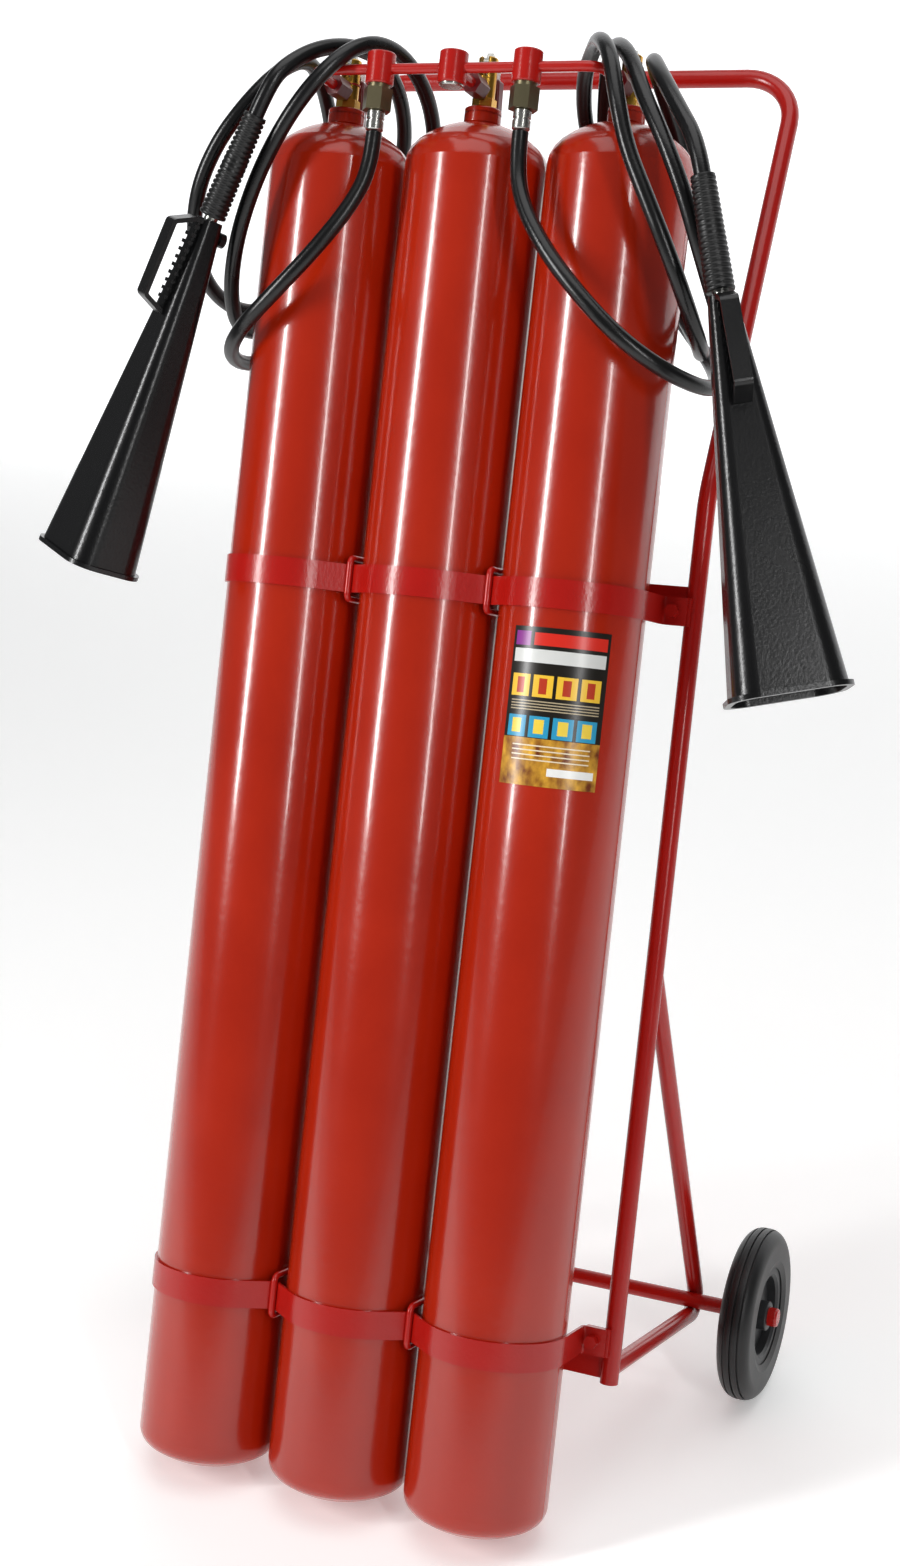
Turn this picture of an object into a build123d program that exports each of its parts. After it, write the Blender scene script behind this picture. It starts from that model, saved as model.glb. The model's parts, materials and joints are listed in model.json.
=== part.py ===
"""Wheeled carbon dioxide extinguisher: three cylinders in a row on a two-wheeled tube cart."""
import os
from math import acos, asin, atan2, cos, degrees, hypot, radians, sin, sqrt, tan

from build123d import *

os.makedirs("parts", exist_ok=True)

# The origin is on the floor, where the middle cylinder's axis meets it. +X is to the right of the
# row, +Y is the wheel side, +Z is up. Everything on the cylinders is placed by three lengths:
# across (along X), behind (square to the row's plane, towards the wheels) and along (up the axis).

# Cylinders
lean_angle = 15.16
cylinder_od = 155.0
cylinder_wall = 7.5
cylinder_length = 1492.0
cylinder_spacing = 163.0
foot_crown_radius = 130.0
foot_knuckle_radius = 22.0
top_crown_radius = 100.0
top_knuckle_radius = 32.0
neck_od = 34.0
neck_height = 14.0
neck_bore_radius = 12.5
ring_od = 40.0
ring_height = 17.0
dip_tube_od = 12.0
dip_tube_wall = 2.0
dip_tube_gap = 45.0

# Valves
valve_hex_across = 23.0
valve_hex_height = 11.0
valve_body_radius = 10.5
valve_body_height = 44.0
outlet_radius = 7.5
union_od = 20.0
union_length = 26.0
pivot_height = 35.0
lever_thickness = 7.0
lever_slot_clearance = 0.5
cam_radius = 8.0
cam_throw = 3.0
cam_gap = 0.65
pin_radius = 2.5
spindle_radius = 3.0
running_clearance = 0.05

# Manifold
manifold_forward = 88.0
manifold_pipe_od = 11.0
manifold_bore = 7.0
boss_od = 30.0
boss_height = 33.0
boss_offset = 83.0
boss_port_radius = 8.0
boss_port_depth = 22.0
plug_od = 25.0
nut_across = 27.0
nut_height = 23.0
collar_height = 4.5
ferrule_od = 19.0
ferrule_height = 20.0

# Hoses, grips and horns
hose_od = 17.0
grip_length = 112.0
grip_top_od = 25.0
grip_end_od = 30.0
tube_piece_od = 15.0
tube_piece_bore = 10.0
tube_piece_gap = 5.0
tube_piece_grasp = 12.0
horn_length = 390.0
horn_neck = (26.0, 24.0)
horn_mouth = (112.0, 82.0)
horn_wall = 3.0
horn_lip = 4.0
handle_offset = 31.0
handle_bar = (5.0, 18.0)

# Cart
tube_od = 20.0
tube_wall = 2.0
upright_across = 272.0
upright_behind = 76.0
upright_foot = 170.0
handle_bend_along = 1125.0
handle_angle = 34.0
handle_rise = 519.0
handle_bend_radius = 60.0
upright_bend_radius = 100.0
axle_od = 18.0
axle_behind = 402.0
brace_top_along = 615.0
brace_low_along = 186.0
band_width = 30.0
band_thickness = 3.0
band_levels = (216.0, 1000.0)
cross_plate_levels = (186.0, 1015.0)
cross_plate_height = 26.0
cross_plate_thickness = 5.0
plate_clearance = 0.3
hook_behind = -40.0
tab_bend_radius = 4.0
tab_reach = 27.0
hook_rod_od = 7.0
hook_height = 51.0
backing_width = 24.0
stud_od = 8.0
fastener_across = 13.0
fastener_height = 6.5
washer_od = 20.0
washer_thickness = 2.0
lug_thickness = 5.0

# Wheels
wheel_od = 200.0
tyre_width = 39.0
wheel_across = 351.0
rim_od = 114.0
rim_width = 30.0
rim_lip = 11.0
rim_disc = 5.0
hub_od = 34.0
hub_length = 35.0
bush_wall = 3.0
groove_depth = 2.5
groove_pitch = 8.5
cap_od = 22.0
cap_length = 11.0

# Label
label_turn = (-25.5, 53.6)
label_span = (803.0, 965.0)
label_thickness = 0.3

# ---------------------------------------------------------------------------------------------
# Frames of reference
# ---------------------------------------------------------------------------------------------
lean = Plane(
    origin=(0, 0, 0),
    x_dir=(1, 0, 0),
    z_dir=(0, sin(radians(lean_angle)), cos(radians(lean_angle))),
)
sides = {"left": -1, "right": 1}
columns = {"left": -cylinder_spacing, "middle": 0.0, "right": cylinder_spacing}


def at(across, behind, along):
    """A point given by the row's three lengths."""
    return lean.from_local_coords(Vector(across, behind, along))


def level_plane(across, behind, along):
    """A plane square to the cylinders, with its normal up their axis."""
    return Plane(origin=at(across, behind, along), x_dir=(1, 0, 0), z_dir=lean.z_dir)


def front_plane(across, behind, along):
    """A plane facing forwards, with its own y up the cylinders."""
    return Plane(origin=at(across, behind, along), x_dir=(1, 0, 0), z_dir=-lean.y_dir)


def side_plane(across, behind, along):
    """A plane facing along X, with its own x to the back and its own y up the cylinders."""
    return Plane(origin=at(across, behind, along), x_dir=lean.y_dir, z_dir=(1, 0, 0))


def up_axis(across, behind=0.0):
    return Axis(at(across, behind, 0), lean.z_dir)


def save(part, name):
    part.label = name
    export_step(part, f"parts/{name}.step")


# ---------------------------------------------------------------------------------------------
# Cylinders: seamless shells with a domed foot and a domed top
# ---------------------------------------------------------------------------------------------
cylinder_radius = cylinder_od / 2
foot_along = foot_crown_radius / cos(radians(lean_angle)) - foot_crown_radius
top_along = foot_along + cylinder_length
neck_top = top_along + neck_height
neck_radius = neck_od / 2


def dome_turn(radius, crown, knuckle):
    """Half the crown's angle, where it runs into the knuckle."""
    return degrees(asin((radius - knuckle) / (crown - knuckle)))


def dome_depth(radius, crown, knuckle):
    return crown - sqrt((crown - knuckle) ** 2 - (radius - knuckle) ** 2)


def vessel_outline(inset):
    """Half of the shell's section, its wall moved in by inset and closed along the axis."""
    radius = cylinder_radius - inset
    foot_crown, foot_knuckle = foot_crown_radius - inset, foot_knuckle_radius - inset
    top_crown, top_knuckle = top_crown_radius - inset, top_knuckle_radius - inset
    foot, top = foot_along + inset, top_along - inset
    foot_wall = foot + dome_depth(radius, foot_crown, foot_knuckle)
    top_wall = top - dome_depth(radius, top_crown, top_knuckle)
    foot_turn = dome_turn(radius, foot_crown, foot_knuckle)
    top_turn = dome_turn(radius, top_crown, top_knuckle)
    CenterArc((0, foot + foot_crown), foot_crown, -90, foot_turn)
    CenterArc((radius - foot_knuckle, foot_wall), foot_knuckle, foot_turn - 90, 90 - foot_turn)
    Line((radius, foot_wall), (radius, top_wall))
    CenterArc((radius - top_knuckle, top_wall), top_knuckle, 0, 90 - top_turn)
    CenterArc((0, top - top_crown), top_crown, 90 - top_turn, top_turn)
    Line((0, top), (0, foot))


for name, across in columns.items():
    with BuildPart() as cylinder:
        with BuildSketch(front_plane(across, 0, 0)):
            with BuildLine():
                vessel_outline(0)
            make_face()
        revolve(axis=up_axis(across))
        with BuildSketch(level_plane(across, 0, top_along - cylinder_wall)):
            Circle(neck_radius)
        extrude(amount=neck_height + cylinder_wall)
        with BuildSketch(front_plane(across, 0, 0)):
            with BuildLine():
                vessel_outline(cylinder_wall)
            make_face()
        revolve(axis=up_axis(across), mode=Mode.SUBTRACT)
        with BuildSketch(level_plane(across, 0, neck_top)):
            Circle(neck_bore_radius)
        extrude(amount=-neck_height - 2 * cylinder_wall, mode=Mode.SUBTRACT)
    save(cylinder.part, f"cylinder_{name}")

# Neck rings, pressed over the necks, each with a groove round its middle
ring_foot = top_along - (top_crown_radius - sqrt(top_crown_radius**2 - neck_radius**2))
ring_groove = 1.5
for name, across in columns.items():
    with BuildPart() as neck_ring:
        with BuildSketch(level_plane(across, 0, ring_foot)):
            Circle(ring_od / 2)
        extrude(amount=ring_height)
        fillet(neck_ring.edges().filter_by(GeomType.CIRCLE), radius=1.8)
        with BuildSketch(level_plane(across, 0, ring_foot + 0.6 * ring_height)):
            Circle(ring_od / 2 + 1)
            Circle(ring_od / 2 - ring_groove, mode=Mode.SUBTRACT)
        extrude(amount=ring_groove, mode=Mode.SUBTRACT)
        with BuildSketch(level_plane(across, 0, ring_foot)):
            Circle(neck_radius)
        extrude(amount=ring_height, mode=Mode.SUBTRACT)
    save(neck_ring.part, f"neck_ring_{name}")

# Dip tubes, hanging from the valves' stems down to just above the domed feet
stem_foot = top_along - 3 * cylinder_wall
dip_length = stem_foot - foot_along - cylinder_wall - dip_tube_gap
with BuildPart() as dip_tubes:
    for across in columns.values():
        with BuildSketch(level_plane(across, 0, stem_foot)):
            Circle(dip_tube_od / 2)
            Circle(dip_tube_od / 2 - dip_tube_wall, mode=Mode.SUBTRACT)
        extrude(amount=-dip_length)
save(dip_tubes.part, "dip_tubes")

# ---------------------------------------------------------------------------------------------
# Valves: brass bodies screwed into the necks, with an outlet to the front and a slotted head
# ---------------------------------------------------------------------------------------------
hex_foot = max(neck_top, ring_foot + ring_height)
body_foot = hex_foot + valve_hex_height
body_top = body_foot + valve_body_height
pivot_along = body_foot + pivot_height
slot_floor = pivot_along - cam_radius - cam_throw - 1
pipe_along = body_foot + 7
outlet_end = valve_body_radius + 14.0
spindle_top = pivot_along - (cam_radius - cam_throw / 2) - cam_gap
spindle_foot = pipe_along + manifold_bore / 2 + cam_throw + 1.5
slot_width = lever_thickness + 2 * lever_slot_clearance

for name, across in columns.items():
    with BuildPart() as valve:
        with BuildSketch(level_plane(across, 0, stem_foot)):
            Circle(neck_bore_radius)
        extrude(amount=hex_foot - stem_foot)
        with BuildSketch(level_plane(across, 0, hex_foot)):
            RegularPolygon(valve_hex_across / 2, 6, major_radius=False, rotation=30)
        extrude(amount=valve_hex_height)
        with BuildSketch(level_plane(across, 0, body_foot)):
            Circle(valve_body_radius)
        extrude(amount=valve_body_height)
        chamfer(valve.faces().sort_by(up_axis(across))[-1].edges(), 1.2)
        with BuildSketch(front_plane(across, 0, pipe_along)):
            Circle(outlet_radius)
        extrude(amount=outlet_end)
        with BuildSketch(front_plane(across, 0, pipe_along)):
            Circle(manifold_bore / 2)
        extrude(amount=outlet_end, mode=Mode.SUBTRACT)
        with BuildSketch(level_plane(across, 0, stem_foot)):
            Circle(dip_tube_od / 2 - dip_tube_wall)
        extrude(amount=pipe_along - stem_foot, mode=Mode.SUBTRACT)
        with BuildSketch(level_plane(across, 0, pipe_along)):
            Circle(spindle_radius + running_clearance)
        extrude(amount=slot_floor - pipe_along, mode=Mode.SUBTRACT)
        with BuildSketch(level_plane(across, 0, slot_floor)):
            Rectangle(slot_width, 4 * valve_body_radius)
        extrude(amount=body_top - slot_floor, mode=Mode.SUBTRACT)
        with BuildSketch(side_plane(across, 0, pivot_along)):
            Circle(pin_radius)
        extrude(amount=valve_body_radius, both=True, mode=Mode.SUBTRACT)
    save(valve.part, f"valve_{name}")

# Spindles, pushed down by the levers' cams
for name, across in columns.items():
    with BuildPart() as spindle:
        with BuildSketch(level_plane(across, 0, spindle_foot)):
            Circle(spindle_radius)
        extrude(amount=spindle_top - spindle_foot)
        chamfer(spindle.faces().sort_by(up_axis(across))[-1].edges(), 0.5)
    save(spindle.part, f"spindle_{name}")

# Levers: a cam and arm that turn in the slot, and the red handle that hangs behind the neck
lever_outline = [(0, -4), (18, -4), (23, -44), (29, -44), (27, 5), (0, 5)]
spur_outline = [(-2, 4), (6, 4), (7.5, 13), (3, 15.5)]
handle_outline = [(16.5, -8), (32, -8), (36, -60), (22.5, -60)]
for name, across in columns.items():
    with BuildPart() as lever:
        with BuildSketch(side_plane(across, 0, pivot_along)):
            with Locations((0, cam_throw / 2)):
                Circle(cam_radius)
            Polygon(*lever_outline, align=None)
            Polygon(*spur_outline, align=None)
            Circle(pin_radius + running_clearance, mode=Mode.SUBTRACT)
        extrude(amount=lever_thickness / 2, both=True)
    save(lever.part, f"lever_{name}")
    with BuildPart() as lever_handle:
        with BuildSketch(side_plane(across, 0, pivot_along)):
            Polygon(*handle_outline, align=None)
        extrude(amount=lever_thickness, both=True)
        fillet(lever_handle.edges(), radius=2.5)
        add(lever.part, mode=Mode.SUBTRACT)
    save(lever_handle.part, f"lever_handle_{name}")

# Pins through the valves' heads, on which the levers turn
with BuildPart() as lever_pins:
    for across in columns.values():
        with BuildSketch(side_plane(across, 0, pivot_along)):
            Circle(pin_radius)
        extrude(amount=valve_body_radius - 1.5, both=True)
save(lever_pins.part, "lever_pins")

union_start = valve_hex_across / sqrt(3) + 0.5
# Union nuts, joining the valves' outlets to the manifold's three stubs
for name, across in columns.items():
    with BuildPart() as union_nut:
        with BuildSketch(front_plane(across, -union_start, pipe_along)):
            RegularPolygon(union_od / 2, 6, major_radius=False)
        extrude(amount=union_length)
        with BuildSketch(front_plane(across, -union_start, pipe_along)):
            Circle(outlet_radius)
        extrude(amount=outlet_end - union_start, mode=Mode.SUBTRACT)
        with BuildSketch(front_plane(across, -union_start, pipe_along)):
            Circle(manifold_pipe_od / 2)
        extrude(amount=union_length, mode=Mode.SUBTRACT)
    save(union_nut.part, f"union_nut_{name}")

# A thin sealing wire, twisted round the left valve's body
seal_radius = 0.7
with BuildPart() as seal_wire:
    seal_plane = level_plane(-cylinder_spacing, 0, pipe_along + outlet_radius + 2 * seal_radius)
    with BuildSketch(seal_plane):
        Circle(valve_body_radius + 2 * seal_radius)
        Circle(valve_body_radius, mode=Mode.SUBTRACT)
    extrude(amount=2 * seal_radius)
save(seal_wire.part, "seal_wire")

# ---------------------------------------------------------------------------------------------
# Manifold: a pipe along the fronts, elbowed back to the outer valves, with three round bosses
# ---------------------------------------------------------------------------------------------
elbow_radius = 1.5 * manifold_pipe_od
boss_foot = pipe_along - boss_height / 2
boss_places = (-boss_offset, 0.0, boss_offset)
manifold_corners = [
    at(-cylinder_spacing, -outlet_end, pipe_along),
    at(-cylinder_spacing, -manifold_forward, pipe_along),
    at(cylinder_spacing, -manifold_forward, pipe_along),
    at(cylinder_spacing, -outlet_end, pipe_along),
]
with BuildPart() as manifold:
    for across in boss_places:
        with BuildSketch(level_plane(across, -manifold_forward, boss_foot)):
            Circle(boss_od / 2)
        extrude(amount=boss_height)
    chamfer(manifold.edges().filter_by(GeomType.CIRCLE), 1.2)
    with BuildLine() as manifold_route:
        FilletPolyline(*manifold_corners, radius=elbow_radius)
    with BuildSketch(front_plane(-cylinder_spacing, -outlet_end, pipe_along)):
        Circle(manifold_pipe_od / 2)
    sweep(path=manifold_route.wires()[0])
    with BuildSketch(front_plane(0, -outlet_end, pipe_along)):
        Circle(manifold_pipe_od / 2)
    extrude(amount=manifold_forward - outlet_end)
    with BuildSketch(front_plane(-cylinder_spacing, -outlet_end, pipe_along)):
        Circle(manifold_bore / 2)
    sweep(path=manifold_route.wires()[0], mode=Mode.SUBTRACT)
    with BuildSketch(front_plane(0, -outlet_end, pipe_along)):
        Circle(manifold_bore / 2)
    extrude(amount=manifold_forward - outlet_end, mode=Mode.SUBTRACT)
    for across in boss_places:
        with BuildSketch(level_plane(across, -manifold_forward, boss_foot)):
            Circle(boss_port_radius)
        extrude(amount=boss_port_depth, mode=Mode.SUBTRACT)
save(manifold.part, "manifold")

with BuildPart() as port_plug:
    with BuildSketch(level_plane(0, -manifold_forward, boss_foot)):
        Circle(plug_od / 2)
    extrude(amount=-3)
    chamfer(port_plug.faces().sort_by(up_axis(0))[0].edges(), 1)
    with BuildSketch(level_plane(0, -manifold_forward, boss_foot)):
        Circle(boss_port_radius)
    extrude(amount=boss_port_depth / 2)
save(port_plug.part, "port_plug")

nut_top = boss_foot - collar_height
nut_foot = nut_top - nut_height
hose_exit = nut_foot - ferrule_height
ferrule_tail = 6.0
for name, side in sides.items():
    across = side * boss_offset
    with BuildPart() as hose_nut:
        with BuildSketch(level_plane(across, -manifold_forward, nut_foot)):
            RegularPolygon(nut_across / 2, 6, major_radius=False, rotation=10)
        extrude(amount=nut_height)
        with BuildSketch(level_plane(across, -manifold_forward, nut_top)):
            Circle(nut_across / 2 - 2)
        extrude(amount=collar_height)
        with BuildSketch(level_plane(across, -manifold_forward, boss_foot)):
            Circle(boss_port_radius)
        extrude(amount=boss_port_depth / 2)
        with BuildSketch(level_plane(across, -manifold_forward, nut_foot)):
            Circle(manifold_bore / 2)
        extrude(amount=boss_port_depth / 2 + collar_height + nut_height, mode=Mode.SUBTRACT)
        with BuildSketch(level_plane(across, -manifold_forward, nut_foot)):
            Circle(ferrule_od / 2 - 2.5)
        extrude(amount=ferrule_tail, mode=Mode.SUBTRACT)
    save(hose_nut.part, f"hose_nut_{name}")

    with BuildPart() as ferrule:
        with BuildSketch(level_plane(across, -manifold_forward, hose_exit)):
            Circle(ferrule_od / 2)
        extrude(amount=ferrule_height)
        chamfer(ferrule.edges().filter_by(GeomType.CIRCLE), 0.8)
        with BuildSketch(level_plane(across, -manifold_forward, nut_foot)):
            Circle(ferrule_od / 2 - 2.5)
        extrude(amount=ferrule_tail)
        with BuildSketch(level_plane(across, -manifold_forward, hose_exit + 0.45 * ferrule_height)):
            Circle(ferrule_od / 2 + 1)
            Circle(ferrule_od / 2 - 1.2, mode=Mode.SUBTRACT)
        extrude(amount=3, mode=Mode.SUBTRACT)
        with BuildSketch(level_plane(across, -manifold_forward, hose_exit)):
            Circle(manifold_bore / 2)
        extrude(amount=ferrule_height + ferrule_tail, mode=Mode.SUBTRACT)
    save(ferrule.part, f"ferrule_{name}")

# ---------------------------------------------------------------------------------------------
# Hoses, grips and horns
# ---------------------------------------------------------------------------------------------
exit_drop = 36.0
grip_tops = {"left": at(-203, -130, 1469), "right": at(300, -140, 1405)}
grip_ends = {"left": at(-245, -120, 1376), "right": at(327, -140, 1307)}
horn_mouths = {"left": at(-376, -100, 982), "right": at(437, -140, 930)}
handle_faces = {"left": Vector(-0.52, -0.84, 0.16), "right": Vector(0.4, -0.88, 0.3)}
routes = {
    "left": [
        (-96, -96, 1388), (-128, -106, 1338), (-170, -108, 1292), (-214, -94, 1256), (-250, -54, 1236),
        (-264, 0, 1230), (-250, 56, 1244), (-212, 96, 1284), (-166, 112, 1340), (-122, 108, 1402),
        (-92, 88, 1462), (-80, 50, 1516), (-82, 2, 1552), (-94, -46, 1568), (-110, -88, 1558),
        (-134, -112, 1526), (-164, -116, 1486), (-194, -108, 1442), (-218, -98, 1396),
        (-240, -80, 1346), (-262, -42, 1298), (-274, 8, 1268), (-262, 56, 1278), (-240, 86, 1320),
        (-224, 95, 1378), (-214, 86, 1438), (-206, 58, 1496), (-200, 10, 1542), (-194, -42, 1558),
        (-204, -84, 1534), (-232, -100, 1494), (-264, -102, 1448), (-290, -90, 1396),
        (-306, -54, 1344), (-308, 0, 1306), (-293, 58, 1296), (-260, 110, 1324), (-216, 136, 1370),
        (-170, 128, 1428), (-134, 96, 1484), (-118, 48, 1532), (-120, -8, 1564), (-134, -56, 1566),
        (-155, -98, 1551), (-176, -126, 1524),
    ],
    "right": [
        (97, -96, 1388), (130, -106, 1342), (172, -108, 1298), (216, -100, 1258), (256, -74, 1232),
        (284, -28, 1222), (286, 28, 1232), (262, 78, 1262), (220, 112, 1304), (176, 128, 1352),
        (134, 122, 1406), (104, 100, 1460), (92, 62, 1516), (104, 16, 1552), (127, -24, 1566),
        (150, -68, 1566), (176, -103, 1540), (192, -114, 1494), (208, -114, 1444), (232, -112, 1398),
        (256, -104, 1350), (274, -78, 1302), (278, -30, 1268), (266, 24, 1262), (242, 68, 1290),
        (204, 98, 1334), (164, 108, 1386), (130, 98, 1442), (114, 70, 1500), (124, 32, 1546),
        (139, -4, 1570), (163, -44, 1567), (190, -80, 1542), (219, -110, 1495), (251, -121, 1445),
        (276, -118, 1394), (294, -104, 1342), (304, -68, 1298), (302, -14, 1276), (284, 40, 1286),
        (258, 78, 1326), (235, 94, 1382), (217, 86, 1440), (203, 50, 1500), (193, 2, 1543),
        (200, -44, 1552), (225, -86, 1524), (257, -117, 1483),
    ],
}
"""Each hose drops out of its ferrule, hangs in three loops over the valves and ends in a grip."""


def loop_radii(points):
    """A bend radius for every corner, as wide as its two runs allow."""
    radii = []
    for before, corner, after in zip(points, points[1:], points[2:]):
        run = min((corner - before).length, (after - corner).length)
        turn = radians((corner - before).get_angle(after - corner))
        radii.append(0.45 * run / tan(turn / 2))
    return radii


for name, side in sides.items():
    leave = at(side * boss_offset, -manifold_forward, hose_exit)
    drop = at(side * boss_offset, -manifold_forward, hose_exit - exit_drop)
    grip_axis = (grip_ends[name] - grip_tops[name]).normalized()
    arrive = grip_tops[name] - grip_axis * exit_drop
    route = [leave, drop, *[at(*place) for place in routes[name]], arrive, grip_tops[name]]
    radii = loop_radii(route)
    with BuildPart() as hose:
        with BuildLine() as hose_line:
            FilletPolyline(*route, radius=radii)
        with BuildSketch(Plane(origin=leave, z_dir=-lean.z_dir)):
            Circle(hose_od / 2)
        sweep(path=hose_line.wires()[0])
    length = hose_line.wires()[0].length
    print(name, "hose", round(length), "mm, radii", [round(radius) for radius in radii])
    print("  volume", round(hose.part.volume), "section x length", round(3.14159 * hose_od**2 / 4 * length))
    save(hose.part, f"hose_{name}")

knob_mounts = {}
rib_count = 11
rib_depth = 2.5
strip_ribs = 10
for name in sides:
    grip_top = grip_tops[name]
    grip_axis = (grip_ends[name] - grip_top).normalized()
    grip_plane = Plane(origin=grip_top, z_dir=grip_axis)
    rib_pitch = (grip_length - 12) / rib_count
    with BuildPart() as grip:
        with BuildSketch(grip_plane) as grip_small:
            Circle(grip_top_od / 2 - rib_depth)
        with BuildSketch(grip_plane.offset(grip_length)):
            Circle(grip_end_od / 2 - rib_depth)
        loft()
        for rib in range(rib_count + 1):
            fraction = rib / rib_count
            with BuildSketch(grip_plane.offset(3 + rib * rib_pitch)):
                Circle(grip_top_od / 2 + fraction * (grip_end_od - grip_top_od) / 2)
            extrude(amount=rib_pitch / 2)
        with BuildSketch(grip_plane.offset(grip_length)):
            Circle(tube_piece_od / 2)
        extrude(amount=-tube_piece_grasp, mode=Mode.SUBTRACT)
        with BuildSketch(grip_plane):
            Circle(tube_piece_bore / 2)
        extrude(amount=grip_length, mode=Mode.SUBTRACT)
    save(grip.part, f"grip_{name}")

    tube_foot = grip_top + grip_axis * (grip_length - tube_piece_grasp)
    tube_length = 2 * tube_piece_grasp + tube_piece_gap
    with BuildPart() as tube_piece:
        with BuildSketch(Plane(origin=tube_foot, z_dir=grip_axis)):
            Circle(tube_piece_od / 2)
            Circle(tube_piece_bore / 2, mode=Mode.SUBTRACT)
        extrude(amount=tube_length)
    save(tube_piece.part, f"tube_piece_{name}")

    # The horn runs on from the tube piece; its wide faces look towards the handle and away
    horn_start = grip_top + grip_axis * (grip_length + tube_piece_gap)
    horn_axis = (horn_mouths[name] - horn_start).normalized()
    horn_x = handle_faces[name].cross(horn_axis).normalized()
    horn_plane = Plane(origin=horn_start, x_dir=horn_x, z_dir=horn_axis)
    mouth_plane = horn_plane.offset(horn_length)
    with BuildPart() as horn_body:
        with BuildSketch(horn_plane):
            RectangleRounded(*horn_neck, 8)
        with BuildSketch(mouth_plane):
            RectangleRounded(*horn_mouth, 24)
        loft(ruled=True)
    socket_floor = tube_piece_grasp + 4
    shrink = socket_floor / horn_length
    floor_size = [
        near + shrink * (far - near) - 2 * horn_wall for near, far in zip(horn_neck, horn_mouth)
    ]
    with BuildPart() as horn:
        add(horn_body.part)
        with BuildSketch(mouth_plane):
            RectangleRounded(horn_mouth[0] + 2 * horn_lip, horn_mouth[1] + 2 * horn_lip, 24 + horn_lip)
        extrude(amount=-5)
        with BuildSketch(horn_plane.offset(socket_floor)):
            RectangleRounded(*floor_size, 6)
        with BuildSketch(mouth_plane):
            RectangleRounded(horn_mouth[0] - 2 * horn_wall, horn_mouth[1] - 2 * horn_wall, 24 - horn_wall)
        loft(ruled=True, mode=Mode.SUBTRACT)
        with BuildSketch(Plane(origin=horn_start, z_dir=grip_axis)):
            Circle(tube_piece_od / 2)
        extrude(amount=tube_piece_grasp, both=True, mode=Mode.SUBTRACT)
        with BuildSketch(horn_plane):
            Circle(tube_piece_bore / 2 - 1)
        extrude(amount=socket_floor + 2, mode=Mode.SUBTRACT)
    save(horn.part, f"horn_{name}")

    # Handle: a flat bar standing off the wide face, its foot hooked back, over a ribbed strip
    face = horn_neck[1] / 2
    slope = (horn_mouth[1] - horn_neck[1]) / 2 / horn_length
    bar, breadth = handle_bar
    reach = face + handle_offset
    handle_foot = 96.0
    strip_end = handle_foot + 12
    handle_side = Plane(origin=horn_start, x_dir=horn_axis, z_dir=horn_x)
    away = -1 if handle_side.to_local_coords(horn_plane.from_local_coords(Vector(0, 1, 0))).Y < 0 else 1
    handle_line = [
        (4, 0), (4, away * (face + 8)), (14, away * reach),
        (handle_foot, away * (reach + 4)), (strip_end, away * (face + 10)), (strip_end, 0),
    ]
    with BuildPart() as horn_handle:
        with BuildSketch(handle_side):
            with BuildLine():
                FilletPolyline(*handle_line, radius=4)
            trace(line_width=bar)
        extrude(amount=breadth / 2, both=True)
        with BuildSketch(handle_side):
            strip = [(5, 0), (5, face + 3.5), (strip_end, face + slope * strip_end + 3), (strip_end, 0)]
            Polygon(*[(run, away * off) for run, off in strip], align=None)
        extrude(amount=breadth / 2 - 3, both=True)
        for rib in range(strip_ribs):
            rib_run = 12 + rib * (handle_foot - 16) / (strip_ribs - 1)
            rib_top = face + slope * rib_run + 6
            with BuildSketch(handle_side):
                with Locations((rib_run, away * rib_top / 2)):
                    Rectangle(4, rib_top)
            extrude(amount=breadth / 2 - 1.5, both=True)
        add(horn_body.part, mode=Mode.SUBTRACT)
        with BuildSketch(horn_plane):
            Rectangle(200, 400, align=(Align.CENTER, Align.MAX))
        extrude(amount=horn_length, mode=Mode.SUBTRACT)
    save(horn_handle.part, f"horn_handle_{name}")

    knob_mounts[name] = (horn_body.part, Plane(origin=horn_start + horn_axis * 16, z_dir=horn_plane.y_dir * -1))

# Round knobs on the horns' necks, opposite the handles
knob_face = horn_neck[1] / 2
with BuildPart() as horn_knobs:
    for name in sides:
        against, knob_plane = knob_mounts[name]
        with BuildSketch(knob_plane):
            Circle(5)
        extrude(amount=knob_face + 4)
        with BuildSketch(knob_plane.offset(knob_face + 4)):
            Circle(8)
        extrude(amount=7)
        add(against, mode=Mode.SUBTRACT)
save(horn_knobs.part, "horn_knobs")

# ---------------------------------------------------------------------------------------------
# Cart frame: one bent tube for the uprights and the handle, and a bent brace on each side
# ---------------------------------------------------------------------------------------------
tube_radius = tube_od / 2
handle_dir = Vector(0, sin(radians(handle_angle)), cos(radians(handle_angle)))
frame_corners = []
for side in (-1, 1):
    foot = at(side * upright_across, upright_behind, upright_foot)
    bend = at(side * upright_across, upright_behind, handle_bend_along)
    corner = bend + handle_dir * handle_rise
    frame_corners += [foot, bend, corner] if side < 0 else [corner, bend, foot]
frame_bends = [upright_bend_radius, handle_bend_radius, handle_bend_radius, upright_bend_radius]
with BuildPart() as handle_frame:
    with BuildLine() as frame_line:
        FilletPolyline(*frame_corners, radius=frame_bends)
    with BuildSketch(level_plane(-upright_across, upright_behind, upright_foot)):
        Circle(tube_radius)
        Circle(tube_radius - tube_wall, mode=Mode.SUBTRACT)
    sweep(path=frame_line.wires()[0])
save(handle_frame.part, "handle_frame")

axle_radius = axle_od / 2
brace_radius = tube_radius - 0.5
axle_place = Vector(0, axle_behind, wheel_od / 2)
wrap_radius = axle_radius + brace_radius


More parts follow.
